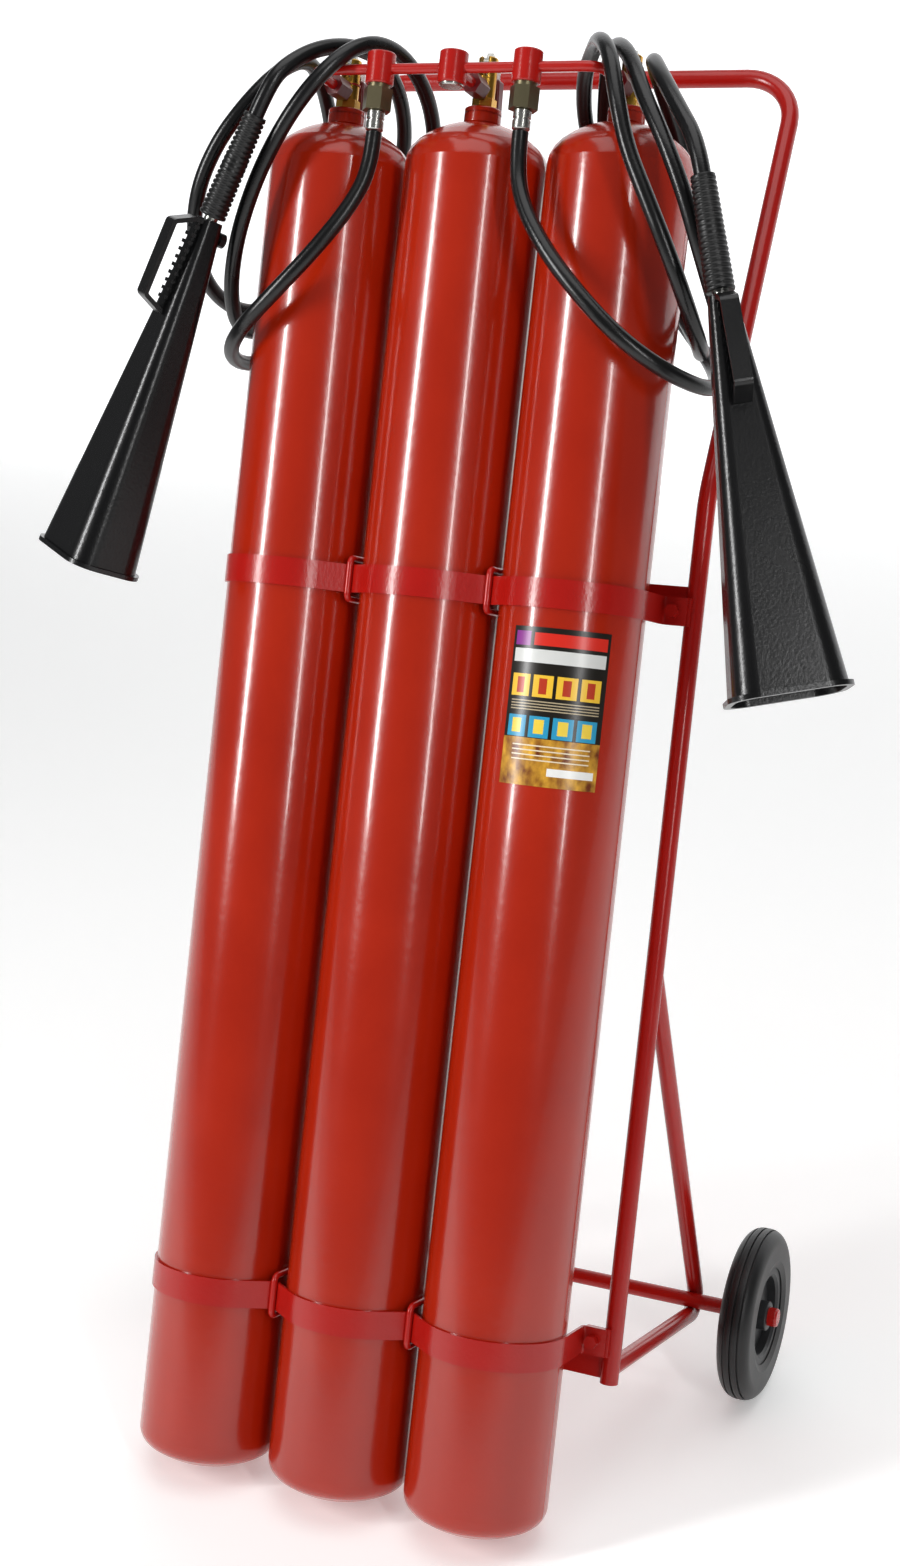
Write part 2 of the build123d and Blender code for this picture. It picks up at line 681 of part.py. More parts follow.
def tangent_place(outer, sign):
    """Where a straight from outer meets the brace's bend round the axle, and its angle."""
    dy, dz = outer.Y - axle_place.Y, outer.Z - axle_place.Z
    angle = atan2(dz, dy) + sign * acos(wrap_radius / hypot(dy, dz))
    return angle, Vector(outer.X, axle_place.Y + wrap_radius * cos(angle), axle_place.Z + wrap_radius * sin(angle))


for name, side in sides.items():
    across = side * upright_across
    brace_top = at(across, upright_behind, brace_top_along)
    brace_low = at(across, upright_behind, brace_low_along)
    back_angle, back_place = tangent_place(brace_top, -1)
    low_angle, low_place = tangent_place(brace_low, 1)
    middle_angle = (back_angle + low_angle - 2 * 3.14159265) / 2
    wrap_middle = axle_place + Vector(across, wrap_radius * cos(middle_angle), wrap_radius * sin(middle_angle))
    with BuildPart() as side_brace:
        with BuildLine() as brace_line:
            Line(brace_top, back_place)
            ThreePointArc(back_place, wrap_middle, low_place)
            Line(low_place, brace_low)
        with BuildSketch(Plane(origin=brace_top, x_dir=(1, 0, 0), z_dir=back_place - brace_top)):
            Circle(brace_radius)
            Circle(brace_radius - tube_wall, mode=Mode.SUBTRACT)
        sweep(path=brace_line.wires()[0])
        with BuildSketch(level_plane(across, upright_behind, 0)):
            Circle(tube_radius)
        extrude(amount=2 * brace_top_along, mode=Mode.SUBTRACT)
    save(side_brace.part, f"side_brace_{name}")

# Axle, with a shoulder inside each wheel
hub_half = hub_length / 2
shoulder_width = 6.0
side_gap = 0.35
axle_end = wheel_across + hub_half + side_gap + 8
with BuildPart() as axle:
    with BuildSketch(Plane.YZ):
        with Locations((axle_behind, wheel_od / 2)):
            Circle(axle_radius)
    extrude(amount=axle_end, both=True)
    for side in (-1, 1):
        shoulder = side * (wheel_across - hub_half - side_gap)
        with BuildSketch(Plane.YZ.offset(shoulder)):
            with Locations((axle_behind, wheel_od / 2)):
                Circle(axle_radius + 5)
        extrude(amount=-side * shoulder_width)
save(axle.part, "axle")

# Cross plates behind the cylinders, welded between the uprights
plate_front = cylinder_radius + plate_clearance
plate_back = plate_front + cross_plate_thickness
plate_reach = upright_across - sqrt(tube_radius**2 - (plate_front - upright_behind) ** 2)
hook_across = cylinder_spacing / 2
hook_half = (hook_height - hook_rod_od) / 2
for name, along, hook_along in zip(("lower", "upper"), cross_plate_levels, band_levels):
    with BuildPart() as cross_plate:
        with BuildSketch(front_plane(0, plate_back, along)):
            Rectangle(2 * plate_reach, cross_plate_height)
        extrude(amount=cross_plate_thickness)
        with BuildSketch(front_plane(0, plate_back, hook_along)):
            with GridLocations(2 * hook_across, 2 * hook_half, 2, 2):
                Circle(hook_rod_od / 2)
        extrude(amount=cross_plate_thickness, mode=Mode.SUBTRACT)
    save(cross_plate.part, f"{name}_cross_plate")

# Backing plates behind the cross plates, one under each pair of nuts
backing_back = plate_back + cross_plate_thickness
backing_height = hook_height + 20
with BuildPart() as backing_plates:
    for hook_along in band_levels:
        with BuildSketch(front_plane(0, backing_back, hook_along)):
            with GridLocations(2 * hook_across, 1, 2, 1):
                Rectangle(backing_width, backing_height)
            with GridLocations(2 * hook_across, 2 * hook_half, 2, 2):
                Circle(hook_rod_od / 2, mode=Mode.SUBTRACT)
        extrude(amount=cross_plate_thickness)
save(backing_plates.part, "backing_plates")

# Bands over the cylinders' fronts, drawn back between them by the hook bolts
lug_front = upright_behind - tube_radius - lug_thickness
tab_middle = lug_front - band_thickness / 2
band_radius = cylinder_radius + band_thickness / 2
trough_radius = (hook_rod_od + band_thickness) / 2
between = hypot(hook_across, hook_behind)
lean_in = atan2(-hook_behind, hook_across)
leave_angle = degrees(-lean_in - acos((band_radius + trough_radius) / between))
tab_end = cylinder_spacing + band_radius + tab_reach
bolt_across = cylinder_spacing + band_radius + tab_bend_radius + 8


def on_circle(across, behind, radius, angle):
    return Vector(across + radius * cos(radians(angle)), behind + radius * sin(radians(angle)))


def band_run(side):
    """The band's middle line from the middle cylinder's front out to one tab."""
    turn = -90 - leave_angle if side < 0 else leave_angle + 90
    front = on_circle(0, 0, band_radius, -90)
    first_leave = on_circle(0, 0, band_radius, -90 + side * (90 + leave_angle))
    trough = [
        on_circle(side * hook_across, hook_behind, trough_radius, 90 + side * (90 + leave_angle)),
        on_circle(side * hook_across, hook_behind, trough_radius, 90),
        on_circle(side * hook_across, hook_behind, trough_radius, 90 - side * (90 + leave_angle)),
    ]
    outer = side * cylinder_spacing
    second_meet = on_circle(outer, 0, band_radius, -90 - side * (90 + leave_angle))
    second_front = on_circle(outer, 0, band_radius, -90)
    second_side = on_circle(outer, 0, band_radius, -90 + side * 90)
    tab_start = tab_middle - tab_bend_radius
    bend_middle = on_circle(
        outer + side * (band_radius + tab_bend_radius), tab_start, tab_bend_radius, 90 + side * 45
    )
    bend_out = Vector(outer + side * (band_radius + tab_bend_radius), tab_middle)
    ThreePointArc(front, on_circle(0, 0, band_radius, -90 + turn / 2), first_leave)
    Line(first_leave, trough[0])
    ThreePointArc(*trough)
    Line(trough[2], second_meet)
    ThreePointArc(second_meet, second_front, second_side)
    Line(second_side, Vector(second_side.X, tab_start))
    ThreePointArc(Vector(second_side.X, tab_start), bend_middle, bend_out)
    Line(bend_out, Vector(side * tab_end, tab_middle))


for name, along in zip(("lower", "upper"), band_levels):
    with BuildPart() as band:
        with BuildSketch(level_plane(0, 0, along - band_width / 2)):
            with BuildLine():
                band_run(-1)
            trace(line_width=band_thickness)
            with BuildLine():
                band_run(1)
            trace(line_width=band_thickness)
        extrude(amount=band_width)
        with BuildSketch(front_plane(0, tab_middle + band_thickness, along)):
            with GridLocations(2 * bolt_across, 1, 2, 1):
                Circle(stud_od / 2)
        extrude(amount=2 * band_thickness, mode=Mode.SUBTRACT)
    save(band.part, f"{name}_band")

lug_edge = 9.0
# Lugs welded on the fronts of the uprights, behind the bands' tabs
with BuildPart() as lugs:
    for along in band_levels:
        with BuildSketch(front_plane(0, lug_front + lug_thickness, along)):
            with GridLocations(bolt_across + upright_across - lug_edge, 1, 2, 1):
                Rectangle(upright_across - bolt_across + lug_edge, band_width)
            with GridLocations(2 * bolt_across, 1, 2, 1):
                Circle(stud_od / 2, mode=Mode.SUBTRACT)
        extrude(amount=lug_thickness)
save(lugs.part, "band_lugs")

# Hook bolts: U-shaped rods over the bands, their legs run back between the cylinders
leg_end = backing_back + fastener_height + 4
bow_radius = hook_half - band_width / 2 - 0.5
with BuildPart() as hook_bolts:
    for along in band_levels:
        for side in (-1, 1):
            across = side * hook_across
            hook_points = [
                at(across, leg_end, along + hook_half),
                at(across, hook_behind, along + hook_half),
                at(across, hook_behind, along - hook_half),
                at(across, leg_end, along - hook_half),
            ]
            with BuildLine() as hook_line:
                FilletPolyline(*hook_points, radius=bow_radius)
            with BuildSketch(front_plane(across, leg_end, along + hook_half)):
                Circle(hook_rod_od / 2)
            sweep(path=hook_line.wires()[0])
save(hook_bolts.part, "hook_bolts")

# Band bolts: flanged hexagon heads in front of the tabs, shanks through tab and lug
tab_front = tab_middle - band_thickness / 2
lug_back = lug_front + lug_thickness
bolt_end = lug_back + fastener_height + 3
with BuildPart() as band_bolts:
    for along in band_levels:
        with BuildSketch(front_plane(0, tab_front, along)):
            with GridLocations(2 * bolt_across, 1, 2, 1):
                Circle(fastener_across / 2 + 0.5)
        extrude(amount=washer_thickness)
        with BuildSketch(front_plane(0, tab_front, along)):
            with GridLocations(2 * bolt_across, 1, 2, 1):
                RegularPolygon(fastener_across / 2, 6, major_radius=False)
        extrude(amount=washer_thickness + fastener_height)
        with BuildSketch(front_plane(0, bolt_end, along)):
            with GridLocations(2 * bolt_across, 1, 2, 1):
                Circle(stud_od / 2)
        extrude(amount=bolt_end - tab_front)
save(band_bolts.part, "band_bolts")

# Nuts on the hook bolts' legs and the band bolts' shanks
with BuildPart() as hex_nuts:
    for along in band_levels:
        with BuildSketch(front_plane(0, backing_back + fastener_height, along)):
            with GridLocations(2 * hook_across, 2 * hook_half, 2, 2):
                RegularPolygon(fastener_across / 2, 6, major_radius=False)
                Circle(hook_rod_od / 2, mode=Mode.SUBTRACT)
        extrude(amount=fastener_height)
        with BuildSketch(front_plane(0, lug_back + fastener_height, along)):
            with GridLocations(2 * bolt_across, 1, 2, 1):
                RegularPolygon(fastener_across / 2, 6, major_radius=False)
                Circle(stud_od / 2, mode=Mode.SUBTRACT)
        extrude(amount=fastener_height)
save(hex_nuts.part, "hex_nuts")

# ---------------------------------------------------------------------------------------------
# Wheels: grooved rubber tyres on pressed rims, turning on the ends of the axle
# ---------------------------------------------------------------------------------------------
rim_radius = rim_od / 2
wheel_radius = wheel_od / 2
half_width = tyre_width / 2
shoulder_radius = 17.0
for name, side in sides.items():
    wheel_plane = Plane(origin=(side * wheel_across, axle_behind, wheel_radius), x_dir=(0, 1, 0), z_dir=(1, 0, 0))
    wheel_axis = Axis(wheel_plane.origin, (1, 0, 0))
    section_plane = Plane(origin=wheel_plane.origin, x_dir=(1, 0, 0), z_dir=(0, -1, 0))
    with BuildPart() as tyre:
        with BuildSketch(section_plane):
            with BuildLine():
                Line((-half_width + 3, rim_radius), (half_width - 3, rim_radius))
                Line((half_width - 3, rim_radius), (half_width, rim_radius + 8))
                Line((half_width, rim_radius + 8), (half_width, wheel_radius - shoulder_radius))
                ThreePointArc(
                    (half_width, wheel_radius - shoulder_radius),
                    (half_width * 0.72, wheel_radius - 0.24 * shoulder_radius),
                    (0, wheel_radius),
                )
                ThreePointArc(
                    (0, wheel_radius),
                    (-half_width * 0.72, wheel_radius - 0.24 * shoulder_radius),
                    (-half_width, wheel_radius - shoulder_radius),
                )
                Line((-half_width, wheel_radius - shoulder_radius), (-half_width, rim_radius + 8))
                Line((-half_width, rim_radius + 8), (-half_width + 3, rim_radius))
            make_face()
            with GridLocations(groove_pitch, 1, 3, 1):
                with Locations((0, wheel_radius)):
                    Rectangle(2, 2 * groove_depth, mode=Mode.SUBTRACT)
        revolve(axis=wheel_axis)
    save(tyre.part, f"tyre_{name}")

    with BuildPart() as rim:
        with BuildSketch(wheel_plane):
            Circle(rim_radius)
            Circle(rim_radius - rim_lip, mode=Mode.SUBTRACT)
        extrude(amount=rim_width / 2, both=True)
        chamfer(rim.edges().filter_by(GeomType.CIRCLE).filter_by(lambda edge: edge.radius < rim_radius - 1), 3)
        with BuildSketch(wheel_plane):
            Circle(rim_radius - rim_lip / 2)
        extrude(amount=rim_disc / 2, both=True)
        with BuildSketch(wheel_plane):
            Circle(hub_od / 2)
        extrude(amount=hub_length / 2, both=True)
        chamfer(rim.edges().filter_by(GeomType.CIRCLE).filter_by(lambda edge: abs(edge.radius - hub_od / 2) < 0.01), 1)
        with BuildSketch(wheel_plane):
            Circle(axle_radius + running_clearance)
        extrude(amount=hub_length, both=True, mode=Mode.SUBTRACT)
    save(rim.part, f"rim_{name}")

cap_foot = wheel_across + hub_half + side_gap
with BuildPart() as hub_caps:
    for side in (-1, 1):
        with BuildSketch(Plane.YZ.offset(side * cap_foot)):
            with Locations((axle_behind, wheel_radius)):
                Circle(cap_od / 2)
        extrude(amount=side * cap_length)
        with BuildSketch(Plane.YZ.offset(side * cap_foot)):
            with Locations((axle_behind, wheel_radius)):
                Circle(axle_radius)
        extrude(amount=side * (axle_end - cap_foot), mode=Mode.SUBTRACT)
    cap_rims = hub_caps.edges().filter_by(GeomType.CIRCLE).filter_by(lambda edge: abs(edge.center().X) > cap_foot + cap_length - 1)
    fillet(cap_rims, radius=3)
save(hub_caps.part, "hub_caps")

# ---------------------------------------------------------------------------------------------
# Label: a thin sheet wrapped on the right cylinder
# ---------------------------------------------------------------------------------------------
label_radius = cylinder_radius + label_thickness
label_from, label_to = label_turn[0] - 90, label_turn[1] - 90
with BuildPart() as label:
    with BuildSketch(level_plane(cylinder_spacing, 0, label_span[0])):
        with BuildLine():
            CenterArc((0, 0), label_radius, label_from, label_to - label_from)
            CenterArc((0, 0), cylinder_radius, label_from, label_to - label_from)
            for angle in (label_from, label_to):
                Line(on_circle(0, 0, cylinder_radius, angle), on_circle(0, 0, label_radius, angle))
        make_face()
    extrude(amount=label_span[1] - label_span[0])
save(label.part, "label")
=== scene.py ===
import json
import math

import bmesh
import bpy
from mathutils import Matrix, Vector


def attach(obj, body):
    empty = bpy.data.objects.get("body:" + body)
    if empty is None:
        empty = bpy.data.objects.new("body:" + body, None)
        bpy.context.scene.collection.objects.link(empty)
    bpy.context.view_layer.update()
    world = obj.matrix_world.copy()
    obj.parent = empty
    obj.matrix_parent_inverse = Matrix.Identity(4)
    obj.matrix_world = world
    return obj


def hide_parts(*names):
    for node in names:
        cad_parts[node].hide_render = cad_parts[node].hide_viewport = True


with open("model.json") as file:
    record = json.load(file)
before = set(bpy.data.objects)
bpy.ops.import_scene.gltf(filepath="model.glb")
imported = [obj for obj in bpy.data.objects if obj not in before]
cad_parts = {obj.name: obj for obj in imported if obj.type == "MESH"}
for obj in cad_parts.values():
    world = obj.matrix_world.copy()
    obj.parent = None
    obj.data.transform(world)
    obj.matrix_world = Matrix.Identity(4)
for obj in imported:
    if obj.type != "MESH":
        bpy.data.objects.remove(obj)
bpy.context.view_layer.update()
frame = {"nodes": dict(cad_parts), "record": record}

# ---------------------------------------------------------------------------------------------
# Camera
# A view of the row's front and right side from about chest height, some two metres away.
# ---------------------------------------------------------------------------------------------
scene = bpy.context.scene
camera_data = bpy.data.cameras.new("Camera")
camera_data.sensor_width = 36.0
camera_data.lens = 50.856
camera = bpy.data.objects.new("Camera", camera_data)
scene.collection.objects.link(camera)
camera.location = (0.9783, -1.8764, 1.4187)
camera.rotation_euler = (math.radians(90 - 15.97), 0, math.radians(24.13))
scene.camera = camera

# ---------------------------------------------------------------------------------------------
# Studio light and backdrop
# Two narrow upright strips give each cylinder its two bright lines, and a wide soft box hangs
# overhead. The floor and wall are white and glow a little, so that they meet without a line.
# ---------------------------------------------------------------------------------------------
STAGE_SIZE = 9


def linear(code):
    """An sRGB hex colour as linear RGBA."""
    parts = [int(code[i : i + 2], 16) / 255 for i in (0, 2, 4)]
    return [c / 12.92 if c <= 0.04045 else ((c + 0.055) / 1.055) ** 2.4 for c in parts] + [1.0]


def add_light(name, place, aim, size, power):
    """A white rectangular light at a place, turned towards its aim."""
    data = bpy.data.lights.new(name, "AREA")
    data.shape = "RECTANGLE"
    data.size, data.size_y = size
    data.energy = power
    light = bpy.data.objects.new(name, data)
    light.location = place
    light.rotation_euler = (Vector(aim) - Vector(place)).to_track_quat("-Z", "Y").to_euler()
    scene.collection.objects.link(light)


def material(name):
    """A new material, its node tree and its main shader."""
    made = bpy.data.materials.new(name)
    made.use_nodes = True
    tree = made.node_tree
    return made, tree, tree.nodes["Principled BSDF"]


def backdrop(name, place, tilt, colour, roughness, glow_colour, glow):
    """A large flat sheet behind or under the object, which isn't part of it."""
    bm = bmesh.new()
    bmesh.ops.create_grid(bm, x_segments=1, y_segments=1, size=STAGE_SIZE)
    mesh = bpy.data.meshes.new(name)
    bm.to_mesh(mesh)
    bm.free()
    sheet = bpy.data.objects.new(name, mesh)
    sheet.location = place
    sheet.rotation_euler = (tilt, 0, 0)
    scene.collection.objects.link(sheet)
    paper, _, shader = material(name)
    shader.inputs["Base Color"].default_value = linear(colour)
    shader.inputs["Roughness"].default_value = roughness
    shader.inputs["Emission Color"].default_value = linear(glow_colour)
    shader.inputs["Emission Strength"].default_value = glow
    mesh.materials.append(paper)


add_light("Left strip", (-2.3, -2.3, 2.1), (0, 0.2, 1.1), (0.34, 1.8), 76)
add_light("Right strip", (2.3, -2.0, 2.0), (0.1, 0.2, 1.1), (0.16, 1.8), 26)
add_light("Top", (0.3, -0.4, 4.2), (0.1, 0.3, 0), (3.2, 3.2), 52)

world = bpy.data.worlds.new("World")
world.use_nodes = True
scene.world = world
world.node_tree.nodes["Background"].inputs["Color"].default_value = linear("f7f8fa")
world.node_tree.nodes["Background"].inputs["Strength"].default_value = 0.14

backdrop("Floor", (0, 2, -0.0005), 0, "f6f6f5", 0.75, "ffffff", 0.28)
backdrop("Wall", (0, 7, 6), math.pi / 2, "f4f5f6", 0.5, "fbfbfc", 0.9)
scene.view_settings.view_transform = "Standard"

# ---------------------------------------------------------------------------------------------
# Hoses
# Black rubber pressure hoses, 17 mm thick. Each leaves its ferrule under the manifold, hangs in
# three loops over an outer cylinder's valve, and ends in its grip.
# ---------------------------------------------------------------------------------------------
LEAN = math.radians(15.16)
HOSE_DIAMETER = 0.017
FERRULE_RUN = 36
GRIP_LEAD = 0.036


def at(across, behind, along):
    """A point from the row's three lengths in millimetres: across, behind and up the cylinders."""
    y = behind * math.cos(LEAN) + along * math.sin(LEAN)
    z = along * math.cos(LEAN) - behind * math.sin(LEAN)
    return Vector((across, y, z)) * 0.001


def add_node(tree, kind, links=None, **settings):
    """One shader node, with its settings, and links from {its input: another node's output}."""
    node = tree.nodes.new(kind)
    for key, value in settings.items():
        setattr(node, key, value)
    for key, source in (links or {}).items():
        tree.links.new(source, node.inputs[key])
    return node


def finish_of(name, colour, dark, roughness, grain, metal=0.0):
    """Two close tones in soft patches of a tenth of a metre, uneven gloss, and a fine bumpy skin.

    The skin's bumps are 1/grain of a metre across, coarser than the real ones, so that they show.
    """
    made, tree, shader = material(name)
    where = add_node(tree, "ShaderNodeTexCoord").outputs["Object"]
    patches = add_node(tree, "ShaderNodeTexNoise", {"Vector": where})
    patches.inputs["Scale"].default_value = 9
    patches.inputs["Detail"].default_value = 5
    tone = add_node(tree, "ShaderNodeMix", {"Factor": patches.outputs["Fac"]}, data_type="RGBA")
    tone.inputs["A"].default_value = linear(dark)
    tone.inputs["B"].default_value = linear(colour)
    tree.links.new(tone.outputs["Result"], shader.inputs["Base Color"])
    gloss = add_node(tree, "ShaderNodeMapRange", {"Value": patches.outputs["Fac"]})
    gloss.inputs["To Min"].default_value = roughness * 0.8
    gloss.inputs["To Max"].default_value = roughness * 1.25
    tree.links.new(gloss.outputs["Result"], shader.inputs["Roughness"])
    skin = add_node(tree, "ShaderNodeTexNoise", {"Vector": where})
    skin.inputs["Scale"].default_value = grain
    skin.inputs["Detail"].default_value = 3
    bump = add_node(tree, "ShaderNodeBump", {"Height": skin.outputs["Fac"]})
    bump.inputs["Strength"].default_value = 0.16
    bump.inputs["Distance"].default_value = 0.001
    tree.links.new(bump.outputs["Normal"], shader.inputs["Normal"])
    shader.inputs["Metallic"].default_value = metal
    return made


# Extruded synthetic rubber: near black, with a soft sheen along the top of each loop
hose_rubber = finish_of("Hose rubber", "0a0a0b", "060607", 0.27, 420)

HOSES = {
    "left": {
        "exit": (-83, -88, 1464.2),
        "grip": ((-203, -130, 1469), (-245, -120, 1376)),
        "length": 2.735,
        "points": [
            (-96, -96, 1388), (-128, -106, 1338), (-170, -108, 1292), (-214, -94, 1256),
            (-250, -54, 1236), (-264, 0, 1230), (-250, 56, 1244), (-212, 96, 1284),
            (-166, 112, 1340), (-122, 108, 1402), (-92, 88, 1462), (-80, 50, 1516),
            (-82, 2, 1552), (-94, -46, 1568), (-110, -88, 1558), (-134, -112, 1526),
            (-164, -116, 1486), (-194, -108, 1442), (-218, -98, 1396), (-240, -80, 1346),
            (-262, -42, 1298), (-274, 8, 1268), (-262, 56, 1278), (-240, 86, 1320),
            (-224, 95, 1378), (-214, 86, 1438), (-206, 58, 1496), (-200, 10, 1542),
            (-194, -42, 1558), (-204, -84, 1534), (-232, -100, 1494), (-264, -102, 1448),
            (-290, -90, 1396), (-306, -54, 1344), (-308, 0, 1306), (-293, 58, 1296),
            (-260, 110, 1324), (-216, 136, 1370), (-170, 128, 1428), (-134, 96, 1484),
            (-118, 48, 1532), (-120, -8, 1564), (-134, -56, 1566), (-155, -98, 1551),
            (-176, -126, 1524),
        ],
    },
    "right": {
        "exit": (83, -88, 1464.2),
        "grip": ((300, -140, 1405), (327, -140, 1307)),
        "length": 2.886,
        "points": [
            (97, -96, 1388), (130, -106, 1342), (172, -108, 1298), (216, -100, 1258),
            (256, -74, 1232), (284, -28, 1222), (286, 28, 1232), (262, 78, 1262),
            (220, 112, 1304), (176, 128, 1352), (134, 122, 1406), (104, 100, 1460),
            (92, 62, 1516), (104, 16, 1552), (127, -24, 1566), (150, -68, 1566),
            (176, -103, 1540), (192, -114, 1494), (208, -114, 1444), (232, -112, 1398),
            (256, -104, 1350), (274, -78, 1302), (278, -30, 1268), (266, 24, 1262),
            (242, 68, 1290), (204, 98, 1334), (164, 108, 1386), (130, 98, 1442),
            (114, 70, 1500), (124, 32, 1546), (139, -4, 1570), (163, -44, 1567),
            (190, -80, 1542), (219, -110, 1495), (251, -121, 1445), (276, -118, 1394),
            (294, -104, 1342), (304, -68, 1298), (302, -14, 1276), (284, 40, 1286),
            (258, 78, 1326), (235, 94, 1382), (217, 86, 1440), (203, 50, 1500),
            (193, 2, 1543), (200, -44, 1552), (225, -86, 1524), (257, -117, 1483),
        ],
    },
}
for side, facts in HOSES.items():
    across, behind, along = facts["exit"]
    leave = at(across, behind, along)
    grip_top, grip_end = (at(*place) for place in facts["grip"])
    grip_axis = (grip_end - grip_top).normalized()
    points = [leave, at(across, behind, along - FERRULE_RUN)]
    points += [at(*place) for place in facts["points"]]
    points += [grip_top - grip_axis * GRIP_LEAD, grip_top]
    curve = bpy.data.curves.new(f"Hose_{side}", "CURVE")
    curve.dimensions = "3D"
    curve.bevel_depth = HOSE_DIAMETER / 2
    curve.bevel_resolution = 6
    curve.resolution_u = 14
    curve.use_fill_caps = True
    spline = curve.splines.new("NURBS")
    spline.points.add(len(points) - 1)
    for point, place in zip(spline.points, points):
        point.co = (*place, 1)
    spline.order_u = 3
    spline.use_endpoint_u = True
    hose = bpy.data.objects.new(f"Hose_{side}", curve)
    scene.collection.objects.link(hose)
    curve.materials.append(hose_rubber)
    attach(hose, "cart")
    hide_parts(f"hose_{side}")

# ---------------------------------------------------------------------------------------------
# Grips
# Moulded rubber sleeves over the hoses' ends. Their fine rings grow towards the horn, and a
# plainer belt of three rings breaks them a third of the way down.
# ---------------------------------------------------------------------------------------------
RING_COUNT = 21
RING_SPAN = 0.109
RING_HALF = 0.0018
PLAIN_RINGS = (8, 9, 10)


def new_object(name, bm, look):
    """A smooth object from a bmesh, with one material."""
    mesh = bpy.data.meshes.new(name)
    bm.to_mesh(mesh)
    bm.free()
    mesh.materials.append(look)
    for face in mesh.polygons:
        face.use_smooth = True
    made = bpy.data.objects.new(name, mesh)
    scene.collection.objects.link(made)
    return made


def spin_profile(bm, profile, base, axis, steps=48):
    """Turns (distance along axis, radius) pairs, in metres, once round the axis from base."""
    across = axis.orthogonal().normalized()
    ring = [bm.verts.new(base + axis * run + across * radius) for run, radius in profile]
    edges = [bm.edges.new(pair) for pair in zip(ring, ring[1:])]
    bmesh.ops.spin(
        bm, geom=ring + edges, cent=base, axis=axis, angle=math.tau, steps=steps, use_merge=True
    )
    bmesh.ops.remove_doubles(bm, verts=bm.verts, dist=1e-6)
    bmesh.ops.recalc_face_normals(bm, faces=bm.faces)


# Moulded rubber, duller than the hose
grip_rubber = finish_of("Grip rubber", "090909", "050505", 0.36, 420)

for side, facts in HOSES.items():
    grip_top, grip_end = (at(*place) for place in facts["grip"])
    grip_axis = (grip_end - grip_top).normalized()
    profile = [(-0.002, 0.0087), (-0.002, 0.0122)]
    for ring in range(RING_COUNT):
        run = 0.001 + ring * RING_SPAN / (RING_COUNT - 1)
        radius = 0.0125 + 0.0025 * ring / (RING_COUNT - 1)
        dip = 0.0008 if ring in PLAIN_RINGS else 0.0024
        profile += [
            (run - RING_HALF, radius - 0.0006),
            (run, radius),
            (run + RING_HALF, radius - 0.0006),
            (run + 0.0026, radius - dip),
        ]
    profile += [(0.1125, 0.0126), (0.1125, 0.0078)]
    bm = bmesh.new()
    spin_profile(bm, profile, grip_top, grip_axis)
    grip = new_object(f"Grip_{side}", bm, grip_rubber)
    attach(grip, "cart")
    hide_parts(f"grip_{side}")

# ---------------------------------------------------------------------------------------------
# Cylinders and neck rings
# Seamless steel gas cylinders with a domed top and foot, sprayed in glossy red enamel. The CAD
# solids show as they are, with their edges eased.
# ---------------------------------------------------------------------------------------------
node_slots = {part["node"]: part["material_slot"] for part in frame["record"]["subparts"]}


def finish_slot(slot, look):
    """Gives every CAD node of a material slot its finish, smooth faces and eased edges."""
    for name, piece in frame["nodes"].items():
        if node_slots[name] != slot:
            continue
        piece.data.materials.clear()
        piece.data.materials.append(look)
        for face in piece.data.polygons:
            face.use_smooth = True
        ease = piece.modifiers.new("Ease", "BEVEL")
        ease.width = 0.0004
        ease.segments = 2
        ease.limit_method = "ANGLE"
        ease.angle_limit = math.radians(35)
        ease.harden_normals = True


# Sprayed enamel: orange red under a thin clear gloss, with faint orange peel
cylinder_paint = finish_of("Cylinder paint", "b42607", "9b1b05", 0.2, 110)
cylinder_shader = cylinder_paint.node_tree.nodes["Principled BSDF"]
cylinder_shader.inputs["Coat Weight"].default_value = 0.3
cylinder_shader.inputs["Coat Roughness"].default_value = 0.06
finish_slot("cylinder_paint", cylinder_paint)

# ---------------------------------------------------------------------------------------------
# Valves
# Forged brass bodies, plated steel levers on pins, dark red lever handles and union nuts, and a
# thin red seal wire on the left valve.
# ---------------------------------------------------------------------------------------------
# Forged and turned brass: warm yellow, browner in patches
finish_slot("brass", finish_of("Brass", "d9a848", "b98a35", 0.26, 300, metal=1.0))
# Zinc-plated steel: pale grey and bright
plated_steel = finish_of("Plated steel", "c9c9c4", "a9a9a4", 0.25, 300, metal=1.0)
finish_slot("lever_metal", plated_steel)
# Glossy dark red, on the lever handles and the union nuts
finish_slot("handle_red", finish_of("Dark red plastic", "6b0b10", "52080c", 0.3, 200))
# Lacquered wire
finish_slot("seal_red", finish_of("Seal wire", "b1121a", "8d0d13", 0.35, 300))

# ---------------------------------------------------------------------------------------------
# Hose fittings
# Hex nuts passivated to a dull yellow green, and bright plated ferrules pressed on the hoses.
# The manifold's plug, the lever pins, the spindles and the horns' neck tubes share that plating.
# ---------------------------------------------------------------------------------------------
finish_slot(
    "plated_nut", finish_of("Yellowish plated steel", "8d8468", "6f6850", 0.34, 300, metal=1.0)
)
finish_slot("plated_steel", plated_steel)
# The grips' CAD solids carry the hoses' slot, and are hidden under the spun sleeves
finish_slot("hose_rubber", grip_rubber)

# ---------------------------------------------------------------------------------------------
# Horns
# Moulded black plastic horns, flat-sided and flared, with their carrying handles and knobs.
# ---------------------------------------------------------------------------------------------
# Moulded polyethylene: black, with a soft gloss that breaks up along the flat sides
finish_slot("horn_plastic", finish_of("Horn plastic", "0b0b0c", "060607", 0.25, 330))

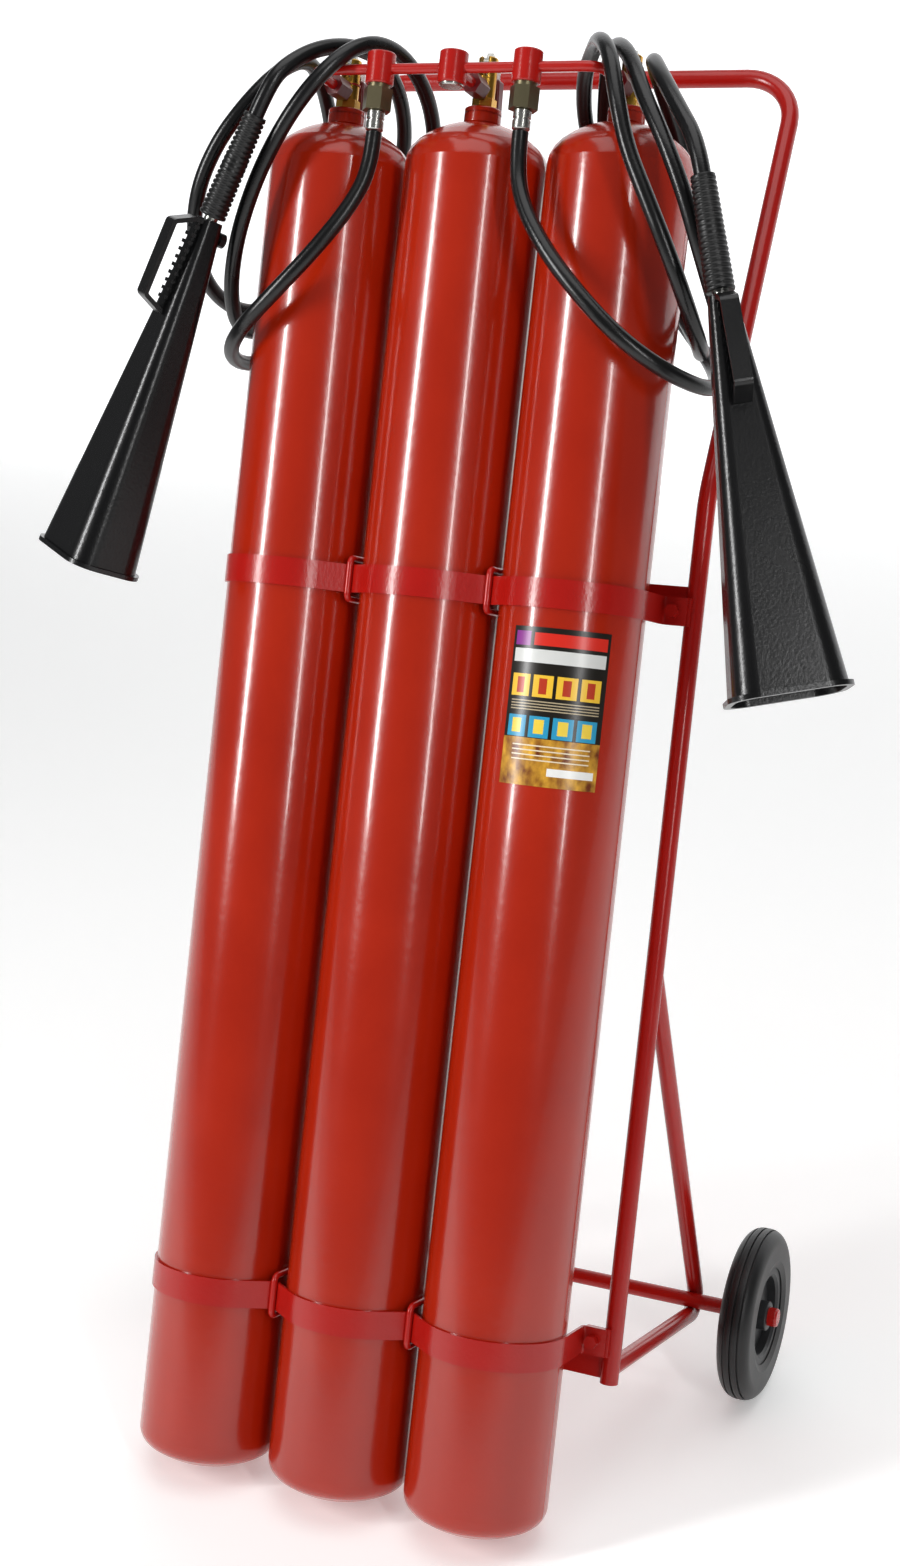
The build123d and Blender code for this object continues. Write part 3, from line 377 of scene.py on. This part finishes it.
# ---------------------------------------------------------------------------------------------
# Cart frame
# Bent and welded steel tube with its braces, cross plates, bands, hooks, bolts and axle, and the
# manifold and hub caps, all sprayed in a cooler red than the cylinders.
# ---------------------------------------------------------------------------------------------
finish_slot("frame_paint", finish_of("Frame paint", "b8170f", "9c110b", 0.22, 260))

# ---------------------------------------------------------------------------------------------
# Wheels
# Solid grooved rubber tyres on moulded plastic rims.
# ---------------------------------------------------------------------------------------------
# Vulcanised rubber, near black and slightly worn
finish_slot("tyre_rubber", finish_of("Tyre rubber", "0e0e0f", "080809", 0.42, 500))
# Moulded polypropylene, a dull dark grey
finish_slot("rim_plastic", finish_of("Rim plastic", "2a2b2d", "1d1e20", 0.45, 300))

# ---------------------------------------------------------------------------------------------
# Label
# A printed plastic film wrapped on the right cylinder's front. Its words, mark and pictures are
# left out: plain coloured blocks and rules stand for them over a patch of flame colours.
# ---------------------------------------------------------------------------------------------
LABEL_RADIUS = 77.5 + 0.35
LABEL_CYLINDER = 163
LABEL_ALONG = (803, 965)
LABEL_TURN = (-25.5, 53.6)
LABEL_COLUMNS = 32

film, tree, shader = material("Label film")
shader.inputs["Roughness"].default_value = 0.28
place = add_node(tree, "ShaderNodeUVMap", uv_map="Sheet").outputs["UV"]
split = add_node(tree, "ShaderNodeSeparateXYZ", {"Vector": place})
label_u, label_v = split.outputs["X"], split.outputs["Y"]


def inside(position, low, high):
    """One where a position across the sheet lies between two others, nothing elsewhere."""
    node = add_node(tree, "ShaderNodeMath", operation="COMPARE")
    tree.links.new(position, node.inputs[0])
    node.inputs[1].default_value = (low + high) / 2
    node.inputs[2].default_value = (high - low) / 2
    return node.outputs["Value"]


def block(below, ink, low_u, high_u, low_v, high_v):
    """Prints a rectangle of ink, a hex colour or another node's output, over what is below."""
    mask = add_node(tree, "ShaderNodeMath", operation="MULTIPLY")
    tree.links.new(inside(label_u, low_u, high_u), mask.inputs[0])
    tree.links.new(inside(label_v, low_v, high_v), mask.inputs[1])
    node = add_node(tree, "ShaderNodeMix", {"Factor": mask.outputs["Value"]}, data_type="RGBA")
    for socket, source in ((node.inputs["A"], below), (node.inputs["B"], ink)):
        if isinstance(source, str):
            socket.default_value = linear(source)
        else:
            tree.links.new(source, socket)
    return node.outputs["Result"]


flames = add_node(tree, "ShaderNodeTexNoise", {"Vector": place})
flames.inputs["Scale"].default_value = 7
flames.inputs["Detail"].default_value = 4
ramp = add_node(tree, "ShaderNodeValToRGB", {"Fac": flames.outputs["Fac"]})
for element, position, code in zip(ramp.color_ramp.elements, (0.35, 0.68), ("6b2a08", "f0b63c")):
    element.position = position
    element.color = linear(code)
print_colour = block("19150f", ramp.outputs["Color"], 0.0, 1.0, 0.0, 0.3)
print_colour = block(print_colour, "d8d9d6", 0.03, 0.97, 0.775, 0.86)
print_colour = block(print_colour, "8c2f8f", 0.03, 0.2, 0.88, 0.97)
print_colour = block(print_colour, "d62a1c", 0.24, 0.97, 0.885, 0.965)
for column in range(4):
    left = 0.04 + column * 0.235
    print_colour = block(print_colour, "f2c33a", left, left + 0.2, 0.56, 0.7)
    print_colour = block(print_colour, "b8371d", left + 0.06, left + 0.14, 0.58, 0.68)
    print_colour = block(print_colour, "2e9bc4", left, left + 0.2, 0.305, 0.44)
    print_colour = block(print_colour, "f2d24a", left + 0.05, left + 0.15, 0.33, 0.42)
for row in range(4):
    upper, lower = 0.475 + row * 0.018, 0.16 + row * 0.03
    print_colour = block(print_colour, "b9a98a", 0.05, 0.95, upper, upper + 0.007)
    print_colour = block(print_colour, "e9dcc0", 0.12, 0.9, lower, lower + 0.008)
print_colour = block(print_colour, "f4f4f0", 0.5, 0.96, 0.07, 0.12)
tree.links.new(print_colour, shader.inputs["Base Color"])

bm = bmesh.new()
sheet_uv = bm.loops.layers.uv.new("Sheet")
corners = []
for step in range(LABEL_COLUMNS + 1):
    turn = math.radians(LABEL_TURN[0] + (LABEL_TURN[1] - LABEL_TURN[0]) * step / LABEL_COLUMNS)
    across = LABEL_CYLINDER + LABEL_RADIUS * math.sin(turn)
    behind = -LABEL_RADIUS * math.cos(turn)
    corners.append([bm.verts.new(at(across, behind, along)) for along in LABEL_ALONG])
for step, (near, far) in enumerate(zip(corners, corners[1:])):
    face = bm.faces.new((near[0], far[0], far[1], near[1]))
    spots = ((step, 0), (step + 1, 0), (step + 1, 1), (step, 1))
    for loop, (u, v) in zip(face.loops, spots):
        loop[sheet_uv].uv = (u / LABEL_COLUMNS, v)
label = new_object("Label", bm, film)
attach(label, "cart")
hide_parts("label")
